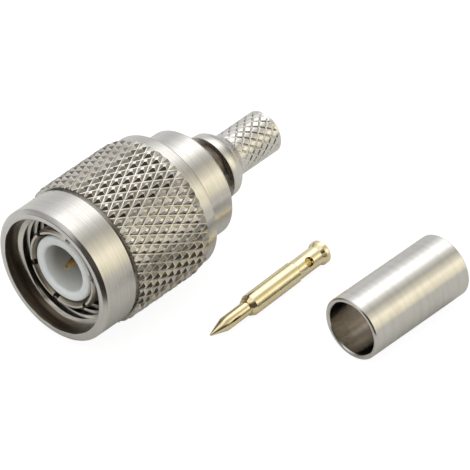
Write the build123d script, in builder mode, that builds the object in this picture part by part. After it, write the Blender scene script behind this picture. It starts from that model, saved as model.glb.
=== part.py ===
"""Threaded coaxial plug for crimping to a thin cable, laid out as a kit on a table.

Millimetres. The plug lies along X with its mouth towards -X and its cable end towards +X, +Z up.
The origin is on the plug's axis, in the plane where the mating socket's metal rim stops.
The loose contact pin and the crimp ferrule lie beside it on the same table.
"""

import os
from math import atan2, cos, pi, radians, sin

from build123d import *

os.makedirs("parts", exist_ok=True)

# Running and seating clearances
turn_gap = 0.06
ring_gap = 0.10
seat_gap = 0.02
slide_gap = 0.05
nut_play = 0.15

# Coupling nut
mouth_x = -6.40
mouth_step = 0.38
mouth_depth = 1.37
band_wall = 0.89
band_length = 3.95
face_chamfer = 0.38
face_chamfer_length = 0.31
undercut_depth = 0.31
undercut_width = 0.30
knurl_rise = 0.49
knurl_depth = 0.40
knurl_count = 45
knurl_pitch = 1.92
knurl_rows = 10
knurl_end_share = 0.26
nut_turn = 1.0
tail_rise = 0.04
tail_length = 1.40
tail_chamfer = 0.15
thread_lead = 0.34
thread_end_x = 0.90
relief_depth = 0.45
relief_width = 0.90

# Body
body_wall = 0.64
body_front_x = 0.80
shoulder_rise = 0.69
shoulder_length = 3.60
shoulder_chamfer = 0.40
body_bore_r = 2.95
stem_seat_r = 3.60
stem_seat_depth = 2.25

# Retaining ring
ring_x = 5.25
ring_width = 0.70
ring_thickness = 0.85
ring_depth = 0.44
ring_mouth = 1.60

# Spring fingers
finger_r = 4.08
finger_wall = 0.63
finger_tip_x = -5.15
finger_tip_chamfer = 0.18
finger_lead_in = 0.27
finger_lead_in_length = 0.40
slot_width = 0.55
slot_length = 4.60
slot_count = 6
slot_angle = 37.5
finger_turn = 5.5
stop_width = 0.25
finger_seat_depth = 2.00

# Gasket
gasket_width = 0.60
gasket_gap = 0.20
gasket_thickness = 0.75

# Insulator
insulator_clearance = 0.13
insulator_face_x = -5.00
insulator_edge = 0.15
pocket_wall = 0.94
pocket_rounding = 0.28
insulator_tail_gap = 0.05

# Centre contact
contact_tip_x = -4.70
tip_r = 0.10
point_length = 1.95
pin_r = 0.665
pin_length = 4.95
barrel_r = 1.04
barrel_chamfer_r = 0.82
barrel_chamfer = 0.50
cup_length = 4.08
cup_outer_r = 0.95
cup_step = 0.12
flare_length = 0.35
flange_width = 0.55
flange_r = 1.17
flange_edge = 0.10
contact_length = 15.50
cup_r = 0.50
cup_depth = 4.20
cup_cone = 0.30
window_r = 0.48
window_setback = 2.50

# Crimp stem
stem_bore_r = 1.50
stem_cup_r = 2.00
stem_cup_depth = 1.20
groove_r = 2.75
groove_step_r = 3.02
groove_step = 0.45
groove_length = 2.20
collar_r = 3.33
collar_tail_r = 3.22
collar_length = 1.05
collar_cone = 1.45
neck_r = 2.16
neck_length = 5.30
neck_edge = 0.18
neck_knurl_count = 15
neck_knurl_pitch = 1.07
neck_knurl_rows = 8
neck_knurl_depth = 0.09
neck_knurl_start = 0.30
neck_land = 0.80

# Crimp ferrule
ferrule_r = 3.17
ferrule_bore_r = 2.70
ferrule_length = 12.54
ferrule_chamfer = 0.12
ferrule_x = 10.01
ferrule_y = -21.60
ferrule_yaw = -0.9

# Loose contact
loose_x = 2.75
loose_y = -11.04
loose_yaw = 1.3
window_angle = 46.0

# Places worked out from the sizes above
body_r = finger_r + seat_gap + body_wall
shoulder_r = body_r + shoulder_rise
ring_inner_r = body_r - ring_depth
finger_bore_r = finger_r - finger_wall
collar_stop_r = finger_r + stop_width
gasket_inner_r = collar_stop_r + seat_gap
thread_crest_r = gasket_inner_r + gasket_width + gasket_gap
thread_lead_r = thread_crest_r + thread_lead
mouth_r = thread_lead_r + mouth_step
relief_r = thread_crest_r + relief_depth
band_r = mouth_r + band_wall
undercut_r = band_r - undercut_depth
tail_r = band_r + tail_rise
knurl_crest_r = band_r + knurl_rise
table_z = -knurl_crest_r
insulator_r = finger_bore_r - insulator_clearance
pocket_r = insulator_r - pocket_wall
barrel_end = contact_length - cup_length
flange_start = contact_length - flange_width
flare_start = flange_start - flare_length
band_end_x = mouth_x + band_length
knurl_start_x = band_end_x + undercut_width
knurl_length = (knurl_rows - 1 + 2 * knurl_end_share) * knurl_pitch / 2
knurl_end_x = knurl_start_x + knurl_length
nut_end_x = knurl_end_x + tail_length
thread_start_x = mouth_x + mouth_depth
nut_bore_r = body_r + turn_gap
nut_bore_x = thread_end_x + relief_width
nut_groove_r = ring_inner_r + ring_thickness + ring_gap
body_groove_r = ring_inner_r - ring_gap
nut_groove_width = ring_width + 2 * slide_gap
body_groove_width = ring_width + 2 * (nut_play + slide_gap)
shoulder_x = nut_end_x + nut_play + slide_gap
body_end_x = shoulder_x + shoulder_length
stem_seat_x = body_end_x - stem_seat_depth
finger_seat_x = body_front_x + finger_seat_depth
groove_end_x = body_end_x + groove_length
collar_end_x = groove_end_x + collar_length
neck_x = collar_end_x + collar_cone
stem_end_x = neck_x + neck_length
insulator_tail_r = body_bore_r - seat_gap
insulator_tail_x = stem_seat_x - insulator_tail_gap
pin_shoulder_x = contact_tip_x + pin_length


def turned(points, mode=Mode.ADD):
    """Turn a closed outline of (station, radius) points about the X axis."""
    with BuildSketch(Plane.XY) as outline:
        with BuildLine():
            Polyline(*points, close=True)
        make_face()
    revolve(outline.sketch, axis=Axis.X, mode=mode)


def around(x, turn, r):
    """Point at station x and radius r, a turn in radians from straight down."""
    return Vector(x, r * sin(turn), -r * cos(turn))


def diamond_band(stations, count, land=0.0, crest=0.0):
    """Closed solid with a diamond knurl around the X axis.

    stations holds (x, peak radius, valley radius) for each row of diamonds. Peaks and valleys
    take turns around a row and from one row to the next. land is the share of each diamond
    that stays at the crest radius, for a shallow knurl with flat diamonds.
    """
    step = pi / count

    def corner(row, k):
        x, peak, valley = stations[row]
        return around(x, k * step, peak if (row + k) % 2 == 0 else valley)

    def land_corner(row, k, to_row, to_k):
        x = stations[row][0] + land * (stations[to_row][0] - stations[row][0])
        return around(x, (k + land * (to_k - k)) * step, crest)

    faces = []

    def facet(*points):
        faces.append(Face(Wire.make_polygon(points, close=True)))

    last = len(stations) - 1
    for row in range(last + 1):
        for k in range(row % 2, 2 * count, 2):
            peak = corner(row, k)
            for next_row in (row - 1, row + 1):
                if not 0 <= next_row <= last:
                    continue
                for side in (k - 1, k + 1):
                    front, flank = corner(next_row, k), corner(row, side)
                    if not land:
                        facet(peak, front, flank)
                        continue
                    front_land = land_corner(row, k, next_row, k)
                    flank_land = land_corner(row, k, row, side)
                    facet(peak, front_land, flank_land)
                    facet(front_land, front, flank)
                    facet(front_land, flank, flank_land)
    for row in (0, last):
        rim = []
        for k in range(row % 2, 2 * count + row % 2, 2):
            rim.append(corner(row, k))
            if land:
                rim.append(land_corner(row, k, row, k + 1))
            rim.append(corner(row, k + 1))
            if land:
                rim.append(land_corner(row, k + 2, row, k + 1))
        facet(*rim)
    return Solid(Shell(faces))


# Coupling nut: knurled grip, plain front and rear bands, threaded pocket and ring groove
with BuildPart() as nut_blank:
    half_pitch = knurl_pitch / 2
    root_r = knurl_crest_r - knurl_depth
    end_peak_r = root_r + knurl_depth * knurl_end_share
    end_valley_r = knurl_crest_r - knurl_depth * knurl_end_share
    rows = [(knurl_start_x, end_peak_r, end_valley_r)]
    for i in range(knurl_rows):
        rows.append((knurl_start_x + (knurl_end_share + i) * half_pitch, knurl_crest_r, root_r))
    rows.append((knurl_end_x, end_peak_r, end_valley_r))
    add(diamond_band(rows, knurl_count))
    turned([
        (mouth_x, 0),
        (mouth_x, band_r - face_chamfer),
        (mouth_x + face_chamfer_length, band_r),
        (band_end_x, band_r),
        (band_end_x, undercut_r),
        (knurl_end_x, undercut_r),
        (knurl_end_x, tail_r),
        (nut_end_x - tail_chamfer, tail_r),
        (nut_end_x, tail_r - tail_chamfer),
        (nut_end_x, 0),
    ])
    turned([
        (mouth_x, 0),
        (mouth_x, mouth_r),
        (thread_start_x, mouth_r),
        (thread_start_x, thread_lead_r),
        (thread_start_x + thread_lead, thread_crest_r),
        (thread_end_x, thread_crest_r),
        (thread_end_x, relief_r),
        (nut_bore_x, relief_r),
        (nut_bore_x, nut_bore_r),
        (ring_x - nut_groove_width / 2, nut_bore_r),
        (ring_x - nut_groove_width / 2, nut_groove_r),
        (ring_x + nut_groove_width / 2, nut_groove_r),
        (ring_x + nut_groove_width / 2, nut_bore_r),
        (nut_end_x, nut_bore_r),
        (nut_end_x, 0),
    ], mode=Mode.SUBTRACT)
with BuildPart() as coupling_nut:
    add(nut_blank.part, rotation=(nut_turn, 0, 0))
coupling_nut.part.label = "coupling_nut"
export_step(coupling_nut.part, "parts/coupling_nut.step")

# Body: bored barrel that the nut turns on, with the ring groove and the rear shoulder
with BuildPart() as connector_body:
    turned([
        (body_front_x, finger_r + seat_gap),
        (body_front_x, body_r),
        (ring_x - body_groove_width / 2, body_r),
        (ring_x - body_groove_width / 2, body_groove_r),
        (ring_x + body_groove_width / 2, body_groove_r),
        (ring_x + body_groove_width / 2, body_r),
        (shoulder_x, body_r),
        (shoulder_x, shoulder_r),
        (body_end_x - shoulder_chamfer, shoulder_r),
        (body_end_x, shoulder_r - shoulder_chamfer),
        (body_end_x, stem_seat_r),
        (stem_seat_x, stem_seat_r),
        (stem_seat_x, body_bore_r),
        (finger_seat_x, body_bore_r),
        (finger_seat_x, finger_r + seat_gap),
    ])
connector_body.part.label = "connector_body"
export_step(connector_body.part, "parts/connector_body.step")

# Retaining ring: split spring ring that ties the nut to the body
with BuildPart() as retaining_ring:
    with BuildSketch(Plane.YZ.offset(ring_x - ring_width / 2)):
        Circle(ring_inner_r + ring_thickness)
        Circle(ring_inner_r, mode=Mode.SUBTRACT)
        with Locations((0, ring_inner_r + ring_thickness / 2)):
            Rectangle(ring_mouth, 2 * ring_thickness, mode=Mode.SUBTRACT)
    extrude(amount=ring_width)
retaining_ring.part.label = "retaining_ring"
export_step(retaining_ring.part, "parts/retaining_ring.step")

# Spring fingers: slotted outer contact, pressed into the front of the body up to its stop collar
with BuildPart() as finger_blank:
    turned([
        (finger_tip_x, finger_bore_r + finger_lead_in),
        (finger_tip_x, finger_r - finger_tip_chamfer),
        (finger_tip_x + finger_tip_chamfer, finger_r),
        (0, finger_r),
        (0, collar_stop_r),
        (body_front_x, collar_stop_r),
        (body_front_x, finger_r),
        (finger_seat_x, finger_r),
        (finger_seat_x, finger_bore_r),
        (finger_tip_x + finger_lead_in_length, finger_bore_r),
    ])
    with BuildSketch(Plane.YZ.offset(finger_tip_x)):
        with PolarLocations((finger_r + finger_bore_r) / 2, slot_count, start_angle=slot_angle):
            Rectangle(2 * (finger_r - finger_bore_r), slot_width)
    extrude(amount=slot_length, mode=Mode.SUBTRACT)
with BuildPart() as spring_fingers:
    add(finger_blank.part, rotation=(finger_turn, 0, 0))
spring_fingers.part.label = "spring_fingers"
export_step(spring_fingers.part, "parts/spring_fingers.step")

# Gasket: flat sealing ring around the stop collar
with BuildPart() as gasket:
    with BuildSketch(Plane.YZ.offset(body_front_x - gasket_thickness)):
        Circle(gasket_inner_r + gasket_width)
        Circle(gasket_inner_r, mode=Mode.SUBTRACT)
    extrude(amount=gasket_thickness)
gasket.part.label = "gasket"
export_step(gasket.part, "parts/gasket.step")

# Insulator: stepped plastic core with a wide pocket in its face
with BuildPart() as insulator:
    turned([
        (insulator_face_x, pocket_r),
        (insulator_face_x, insulator_r - insulator_edge),
        (insulator_face_x + insulator_edge, insulator_r),
        (finger_seat_x, insulator_r),
        (finger_seat_x, insulator_tail_r),
        (insulator_tail_x, insulator_tail_r),
        (insulator_tail_x, barrel_r + seat_gap),
        (pin_shoulder_x, barrel_r + seat_gap),
        (pin_shoulder_x, pocket_r),
    ])
    face_edges = insulator.edges().filter_by(GeomType.CIRCLE).group_by(Axis.X)[0]
    fillet(face_edges.sort_by(SortBy.RADIUS)[0], pocket_rounding)
insulator.part.label = "insulator"
export_step(insulator.part, "parts/insulator.step")

# Centre contact: pointed pin, barrel, and a flanged cup that takes the cable's core
contact_outline = [
    (0, 0),
    (0, tip_r),
    (point_length, pin_r),
    (pin_length, pin_r),
    (pin_length, barrel_chamfer_r),
    (pin_length + barrel_chamfer, barrel_r),
    (barrel_end, barrel_r),
    (barrel_end + cup_step, cup_outer_r),
    (flare_start, cup_outer_r),
    (flange_start, flange_r),
    (contact_length - flange_edge, flange_r),
    (contact_length, flange_r - flange_edge),
    (contact_length, cup_r),
    (contact_length - cup_depth, cup_r),
    (contact_length - cup_depth - cup_cone, 0),
]
with BuildPart() as centre_contact:
    turned([(contact_tip_x + station, r) for station, r in contact_outline])
    with BuildSketch(Plane.XY):
        with Locations((contact_tip_x + contact_length - window_setback, 0)):
            Circle(window_r)
    extrude(amount=flange_r, mode=Mode.SUBTRACT)
centre_contact.part.label = "centre_contact"
export_step(centre_contact.part, "parts/centre_contact.step")

# Crimp stem: pressed into the body, with a groove, a collar and a knurled neck for the braid
with BuildPart() as crimp_stem:
    first_row = neck_x + neck_knurl_start
    row_pitch = neck_knurl_pitch / 2
    rows = [(first_row, neck_r, neck_r)]
    for i in range(1, neck_knurl_rows + 1):
        rows.append((first_row + i * row_pitch, neck_r, neck_r - neck_knurl_depth))
    rows.append((first_row + (neck_knurl_rows + 1) * row_pitch, neck_r, neck_r))
    add(diamond_band(rows, neck_knurl_count, neck_land, neck_r))
    blank = [
        (stem_seat_x, stem_seat_r - seat_gap),
        (body_end_x, stem_seat_r - seat_gap),
        (body_end_x, groove_step_r),
        (body_end_x + groove_step, groove_step_r),
        (body_end_x + groove_step, groove_r),
        (groove_end_x, groove_r),
        (groove_end_x, collar_r),
        (collar_end_x, collar_tail_r),
        (neck_x, neck_r),
        (first_row, neck_r),
        (first_row, neck_r - 2 * neck_knurl_depth),
        (rows[-1][0], neck_r - 2 * neck_knurl_depth),
        (rows[-1][0], neck_r),
        (stem_end_x - neck_edge, neck_r),
        (stem_end_x, neck_r - neck_edge),
    ]
    turned([(stem_seat_x, 0)] + blank + [(stem_end_x, 0)])
    turned([
        (stem_seat_x, 0),
        (stem_seat_x, stem_cup_r),
        (stem_seat_x + stem_cup_depth, stem_cup_r),
        (stem_seat_x + stem_cup_depth, stem_bore_r),
        (stem_end_x, stem_bore_r),
        (stem_end_x, 0),
    ], mode=Mode.SUBTRACT)
crimp_stem.part.label = "crimp_stem"
export_step(crimp_stem.part, "parts/crimp_stem.step")

# Crimp ferrule: plain tube lying on the table beside the plug
ferrule_plane = Plane(
    origin=(ferrule_x, ferrule_y, table_z + ferrule_r),
    x_dir=(-sin(radians(ferrule_yaw)), cos(radians(ferrule_yaw)), 0),
    z_dir=(cos(radians(ferrule_yaw)), sin(radians(ferrule_yaw)), 0),
)
with BuildPart() as crimp_ferrule:
    with BuildSketch(ferrule_plane):
        Circle(ferrule_r)
        Circle(ferrule_bore_r, mode=Mode.SUBTRACT)
    extrude(amount=ferrule_length)
    chamfer(crimp_ferrule.edges().filter_by(GeomType.CIRCLE), ferrule_chamfer)
crimp_ferrule.part.label = "crimp_ferrule"
export_step(crimp_ferrule.part, "parts/crimp_ferrule.step")

# Loose contact: the same contact lying on the table, on its barrel's shoulder and its flange
lean = atan2(flange_r - barrel_r, flange_start - pin_length - barrel_chamfer)
tip_height = barrel_r * cos(lean) - (pin_length + barrel_chamfer) * sin(lean)
level = Vector(-sin(radians(loose_yaw)), cos(radians(loose_yaw)), 0)
along = Vector(level.Y, -level.X, 0) * cos(lean) + Vector(0, 0, sin(lean))
window_side = along.cross(level) * sin(radians(window_angle)) - level * cos(radians(window_angle))
rest = Plane(origin=(loose_x, loose_y, table_z + tip_height), x_dir=along, z_dir=window_side)
with BuildPart() as contact_pin:
    add(centre_contact.part.moved(Location((-contact_tip_x, 0, 0))).moved(rest.location))
contact_pin.part.label = "contact_pin"
export_step(contact_pin.part, "parts/contact_pin.step")

for piece in (
    coupling_nut, connector_body, retaining_ring, spring_fingers, gasket,
    insulator, centre_contact, crimp_stem, crimp_ferrule, contact_pin,
):
    box = piece.part.bounding_box()
    print(piece.part.label, round(piece.part.volume, 2), piece.part.is_valid, box)
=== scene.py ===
"""A threaded coaxial plug with its loose contact pin and its crimp ferrule, on a white table.

The plug lies along X with its mouth towards -X. Sizes are in millimetres and meshes are brought
to metres when a piece is finished.
"""

import logging
import math
from dataclasses import dataclass
from enum import Enum, IntEnum
from typing import Sequence

import bmesh
import bpy
from bmesh.types import BMEdge, BMesh, BMVert
from mathutils import Matrix, Vector


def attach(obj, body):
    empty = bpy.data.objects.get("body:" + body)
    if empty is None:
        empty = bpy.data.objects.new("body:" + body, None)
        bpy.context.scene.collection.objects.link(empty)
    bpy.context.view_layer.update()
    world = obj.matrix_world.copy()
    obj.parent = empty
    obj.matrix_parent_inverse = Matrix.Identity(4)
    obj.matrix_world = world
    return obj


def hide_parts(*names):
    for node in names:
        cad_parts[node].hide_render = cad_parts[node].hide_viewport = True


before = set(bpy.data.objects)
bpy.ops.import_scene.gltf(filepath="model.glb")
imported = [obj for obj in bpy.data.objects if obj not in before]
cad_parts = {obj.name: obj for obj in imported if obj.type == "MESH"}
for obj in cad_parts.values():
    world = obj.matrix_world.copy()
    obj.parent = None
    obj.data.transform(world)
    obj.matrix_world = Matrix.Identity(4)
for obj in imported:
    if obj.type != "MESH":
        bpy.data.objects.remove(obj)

Colour = tuple[float, float, float]
Place = tuple[float, float, float]
Point = tuple[float, float]
Socket = bpy.types.NodeSocket

LOG = logging.getLogger("plug")
MM = 0.001
AXIS = Vector((1.0, 0.0, 0.0))
ORIGIN = Vector((0.0, 0.0, 0.0))
TABLE_Z = -7.25
SEATED_TIP_X = -4.70
SECOND_FINISH = 1
NEAR = 1e-3
SAME = 1e-4
WHITE = (1.0, 1.0, 1.0, 1.0)
SOOT = (0.05, 0.045, 0.04)


class Body(Enum):
    """The moving bodies that pieces ride on."""

    PLUG = "plug"
    NUT = "nut"


class Slot(Enum):
    """The record's material slots."""

    NICKEL = "nickel"
    SPRING_NICKEL = "spring_nickel"
    GOLD = "gold"
    WHITE_PLASTIC = "white_plastic"
    SEAL_RUBBER = "seal_rubber"


# Shader building


Term = "Value | float"


class Value:
    """A number in a shader that takes part in arithmetic."""

    def __init__(self, shader: "Shader", socket: Socket) -> None:
        """Wrap the output of a shader's node."""
        self.shader = shader
        self.socket = socket

    def _maths(self, operation: str, *terms: Term) -> "Value":
        """Return the result of a Math node on some terms."""
        node = self.shader.node("Math", {"operation": operation}, dict(enumerate(terms)))
        return Value(self.shader, node.outputs[0])

    def __add__(self, other: Term) -> "Value":
        """Return the sum."""
        return self._maths("ADD", self, other)

    __radd__ = __add__

    def __sub__(self, other: Term) -> "Value":
        """Return the difference."""
        return self._maths("SUBTRACT", self, other)

    def __rsub__(self, other: Term) -> "Value":
        """Return the difference the other way round."""
        return self._maths("SUBTRACT", other, self)

    def __mul__(self, other: Term) -> "Value":
        """Return the product."""
        return self._maths("MULTIPLY", self, other)

    __rmul__ = __mul__

    def __truediv__(self, other: Term) -> "Value":
        """Return the quotient."""
        return self._maths("DIVIDE", self, other)

    def __pow__(self, other: Term) -> "Value":
        """Return the power."""
        return self._maths("POWER", self, other)

    def turn_from(self, other: Term) -> "Value":
        """Return the angle whose tangent is this over the other."""
        return self._maths("ARCTAN2", self, other)

    def rise(self, low: float, high: float) -> "Value":
        """Return a smooth rise from 0 at low to 1 at high.

        Args:
            low: Where the rise starts.
            high: Where it ends, which may be below low.

        Returns:
            The rise, held between 0 and 1.
        """
        inputs = {"Value": self, "From Min": low, "From Max": high}
        node = self.shader.node("MapRange", {"interpolation_type": "SMOOTHSTEP"}, inputs)
        return Value(self.shader, node.outputs["Result"])


class Shader:
    """A material's or a world's nodes."""

    def __init__(self, owner: bpy.types.Material | bpy.types.World) -> None:
        """Start with a material or a world without nodes."""
        owner.use_nodes = True
        self.tree = owner.node_tree
        self.tree.nodes.clear()

    def node(
        self,
        kind: str,
        settings: dict[str, object] | None = None,
        inputs: dict[str | int, object] | None = None,
    ) -> bpy.types.Node:
        """Add a node.

        Args:
            kind: The node's type, without ShaderNode in front.
            settings: Its properties, which are set first.
            inputs: Values or links for its sockets, by name or number.

        Returns:
            The new node.
        """
        made = self.tree.nodes.new(f"ShaderNode{kind}")
        for name, setting in (settings or {}).items():
            setattr(made, name, setting)
        for name, given in (inputs or {}).items():
            socket = made.inputs[name]
            if isinstance(given, Value):
                self.tree.links.new(given.socket, socket)
            elif isinstance(given, Socket):
                self.tree.links.new(given, socket)
            else:
                socket.default_value = given
        return made

    def split(self, vector: Socket) -> tuple[Value, Value, Value]:
        """Return a vector's three numbers."""
        parts = self.node("SeparateXYZ", None, {"Vector": vector}).outputs
        return Value(self, parts[0]), Value(self, parts[1]), Value(self, parts[2])

    def join(self, x: Value, y: Value, z: Value) -> Socket:
        """Return a vector made of three numbers."""
        return self.node("CombineXYZ", None, {"X": x, "Y": y, "Z": z}).outputs[0]

    def noise(self, vector: Socket, scale: float, detail: float = 2.0) -> Value:
        """Return noise between 0 and 1, with a fineness and a number of finer layers."""
        inputs = {"Vector": vector, "Scale": scale, "Detail": detail}
        return Value(self, self.node("TexNoise", None, inputs).outputs["Fac"])

    def blend(self, share: Value, first: Colour | Socket, second: Colour | Socket) -> Socket:
        """Return a colour with a share of a second one in it."""
        a, b = (c if isinstance(c, Socket) else (*c, 1.0) for c in (first, second))
        return self.node("Mix", {"data_type": "RGBA"}, {0: share, 6: a, 7: b}).outputs[2]

    def ramp(self, at: Value, stops: Sequence[tuple[float, Colour]]) -> Socket:
        """Return a colour read off a ramp.

        Args:
            at: The place on the ramp, from 0 to 1.
            stops: Pairs of place and colour, in order.

        Returns:
            The colour.
        """
        made = self.node("ValToRGB", None, {"Fac": at})
        ramp = made.color_ramp
        ramp.interpolation = "EASE"
        while len(ramp.elements) < len(stops):
            ramp.elements.new(1.0)
        for element, (place, colour) in zip(ramp.elements, stops):
            element.position = place
            element.color = (*colour, 1.0)
        return made.outputs["Color"]

    def rings(self, place: Socket, per_mm: float, stretch: float) -> Socket:
        """Return where to read noise, so that it draws rings around the X axis.

        Args:
            place: The place on the piece in millimetres.
            per_mm: How many rings lie on a millimetre.
            stretch: How fast a ring changes around the axis.

        Returns:
            The vector for the noise.
        """
        x, y, z = self.split(place)
        radius = (y * y + z * z) ** 0.5 + NEAR
        return self.join((x + radius) * per_mm, y / radius * stretch, z / radius * stretch)

    def matt(self, colour: Colour) -> Socket:
        """Return a matt surface of one colour."""
        return self.node("BsdfDiffuse", None, {"Color": (*colour, 1.0)}).outputs[0]

    def mix(self, share: Value | Socket | float, first: Socket, second: Socket) -> Socket:
        """Return a surface or a backdrop with a share of a second one in it."""
        return self.node("MixShader", None, {0: share, 1: first, 2: second}).outputs[0]


@dataclass(frozen=True)
class Seat:
    """Where a turned piece's own axis lies in the object."""

    matrix: Matrix = Matrix.Identity(4)

    def local(self, shader: Shader) -> Socket:
        """Return the place on the piece in millimetres, along and around its own axis.

        Args:
            shader: The shader that reads it.

        Returns:
            The place as a vector.
        """
        inputs = {
            "Vector": shader.node("TexCoord").outputs["Object"],
            "Location": self.matrix.translation * MM,
            "Rotation": self.matrix.to_euler(),
            "Scale": (MM, MM, MM),
        }
        return shader.node("Mapping", {"vector_type": "TEXTURE"}, inputs).outputs[0]


# Finishes


class Marks(Enum):
    """The marks that a tool leaves: how many lie on a millimetre, and how deep they are."""

    TURNED = (26.0, 0.0035)
    ROLLED = (14.0, 0.002)
    CUT = (16.0, 0.005)
    BORED = (20.0, 0.003)
    GROOVED = (9.0, 0.008)
    DRAWN = (9.0, 0.0015)
    SPRUNG = (20.0, 0.004)
    POLISHED = (15.0, 0.0015)


Look = tuple[dict[str, object], Value, float]


@dataclass(frozen=True)
class Finish:
    """A procedural finish that follows a piece's own axis."""

    name: str
    slot: Slot

    def look(self, shader: Shader, place: Socket) -> Look:
        """Return the surface's inputs, its relief and the relief's depth at a place."""
        raise NotImplementedError

    def material(self, seat: Seat) -> bpy.types.Material:
        """Build the finish for a piece.

        Args:
            seat: Where the piece's axis lies.

        Returns:
            The material.
        """
        made = bpy.data.materials.new(self.name)
        shader = Shader(made)
        inputs, relief, depth = self.look(shader, seat.local(shader))
        bump = {"Strength": 1.0, "Distance": depth * MM, "Height": relief}
        inputs["Normal"] = shader.node("Bump", None, bump).outputs[0]
        surface = shader.node("BsdfPrincipled", None, inputs).outputs[0]
        shader.node("OutputMaterial", None, {"Surface": surface})
        return made


@dataclass(frozen=True)
class TurnedMetal(Finish):
    """Plated metal with the fine marks that a tool leaves around it."""

    colour: Colour
    dull_colour: Colour
    roughness: float
    roughness_spread: float
    marks: Marks
    pits: float = 0.0
    pit_scale: float = 0.42
    pit_edge: float = 0.55
    cloud_size: float = 2.2
    fine_stretch: float = 1.6
    band_pitch: float = 0.22
    band_stretch: float = 0.7
    band_relief: float = 0.4

    def look(self, shader: Shader, place: Socket) -> Look:
        """Build the cloudy colour, the roughness and the marks.

        Args:
            shader: The shader to build in.
            place: The place on the piece in millimetres.

        Returns:
            The surface's inputs, its relief and the depth of that.
        """
        per_mm, depth = self.marks.value
        fine = shader.noise(shader.rings(place, per_mm, self.fine_stretch), 1.0, 3.0)
        band = shader.noise(shader.rings(place, self.band_pitch * per_mm, self.band_stretch), 1.0)
        cloud = shader.noise(place, 1.0 / self.cloud_size, 3.0)
        wear_and_highlight = (0.45 * band + 0.35 * cloud + 0.2 * fine).rise(0.38, 0.68)
        colour = shader.blend(wear_and_highlight, self.colour, self.dull_colour)
        if self.pits:
            inputs = {"Vector": place, "Scale": self.pit_scale}
            spots = shader.node("TexVoronoi", {"feature": "F1"}, inputs).outputs
            few = shader.split(spots["Color"])[0].rise(0.90, 0.91)
            inside = Value(shader, spots["Distance"]).rise(self.pits, self.pits * self.pit_edge)
            colour = shader.blend(inside * few, colour, SOOT)
        inputs = {
            "Base Color": colour,
            "Metallic": 1.0,
            "Roughness": self.roughness + self.roughness_spread * (band + cloud - 1.0),
        }
        return inputs, fine + self.band_relief * band, depth


@dataclass(frozen=True)
class ClearWhitePlastic(Finish):
    """White fluoropolymer that lets a little light through, with painted shade in its pocket that
    is darker on one side.
    """

    name: str = "clear_white_plastic"
    slot: Slot = Slot.WHITE_PLASTIC
    colour: Colour = (0.82, 0.85, 0.83)
    shade: Colour = (0.77, 0.80, 0.79)
    # The pocket colour is painted shade, blended in deeper in the pocket and on one side of it.
    pocket: Colour = (0.36, 0.34, 0.31)
    pocket_shade_from: float = -4.9
    pocket_shade_to: float = -3.2
    shade_side_from: float = -4.2
    shade_side_to: float = 2.2
    cloud_scale: float = 0.9
    marks_per_mm: float = 9.0
    marks_stretch: float = 0.8
    marks_depth: float = 0.003

    def look(self, shader: Shader, place: Socket) -> Look:
        """Build the milky colour, the painted shade in the pocket and the faint marks.

        Args:
            shader: The shader to build in.
            place: The place on the piece in millimetres.

        Returns:
            The surface's inputs, its relief and the depth of that.
        """
        x, y, z = shader.split(place)
        cloud = shader.noise(place, self.cloud_scale, 3.0)
        lathe = shader.noise(shader.rings(place, self.marks_per_mm, self.marks_stretch), 1.0)
        plain = shader.blend(cloud.rise(0.4, 0.7), self.colour, self.shade)
        # Painted shade: darker deeper in the pocket and towards one side.
        side = (y + z).rise(self.shade_side_from, self.shade_side_to)
        pocket_shade = x.rise(self.pocket_shade_from, self.pocket_shade_to) * side
        inputs = {
            "Base Color": shader.blend(pocket_shade, plain, self.pocket),
            "Roughness": 0.34 + 0.1 * cloud,
            "Subsurface Weight": 0.55,
            "Subsurface Radius": (1.0, 1.0, 0.95),
            "Subsurface Scale": 0.9 * MM,
            "IOR": 1.38,
        }
        return inputs, lathe + 0.5 * cloud, self.marks_depth


@dataclass(frozen=True)
class SealRubber(Finish):
    """Dark red-brown silicone rubber."""

    name: str = "seal_rubber"
    slot: Slot = Slot.SEAL_RUBBER
    colour: Colour = (0.075, 0.032, 0.024)
    bloom: Colour = (0.12, 0.07, 0.058)
    dust_scale: float = 2.0
    grain_scale: float = 18.0
    grain_depth: float = 0.01

    def look(self, shader: Shader, place: Socket) -> Look:
        """Build the dusty colour and the grain.

        Args:
            shader: The shader to build in.
            place: The place on the piece in millimetres.

        Returns:
            The surface's inputs, its relief and the depth of that.
        """
        dust = shader.noise(place, self.dust_scale, 4.0)
        inputs = {
            "Base Color": shader.blend(dust.rise(0.45, 0.75), self.colour, self.bloom),
            "Roughness": 0.5 + 0.2 * dust,
        }
        return inputs, shader.noise(place, self.grain_scale), self.grain_depth


# Each metal's name, slot, colour, dull colour, roughness, its spread, marks and pits
SATIN_NICKEL = TurnedMetal(
    "satin_nickel", Slot.NICKEL,
    (0.70, 0.685, 0.655), (0.62, 0.60, 0.57), 0.24, 0.10, Marks.TURNED, 0.09
)
# Darker copy of the nickel for the knurl's facets: painted shade between the pyramids.
SHADED_KNURL_NICKEL = TurnedMetal(
    "rolled_nickel_painted_shade", Slot.NICKEL,
    (0.56, 0.535, 0.49), (0.42, 0.395, 0.35), 0.12, 0.06, Marks.ROLLED
)
# Lighter copy of the nickel for the knurl's valley bottoms and blunt tips: painted highlight.
HIGHLIT_KNURL_NICKEL = TurnedMetal(
    "rolled_nickel_painted_highlight", Slot.NICKEL,
    (0.78, 0.76, 0.72), (0.60, 0.575, 0.525), 0.20, 0.06, Marks.ROLLED
)
STEM_NICKEL = TurnedMetal(
    "stem_nickel", Slot.NICKEL,
    (0.79, 0.775, 0.74), (0.70, 0.68, 0.645), 0.25, 0.10, Marks.TURNED
)
CUT_NICKEL = TurnedMetal(
    "cut_thread_nickel", Slot.NICKEL,
    (0.70, 0.67, 0.61), (0.42, 0.39, 0.33), 0.22, 0.12, Marks.CUT
)
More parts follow.
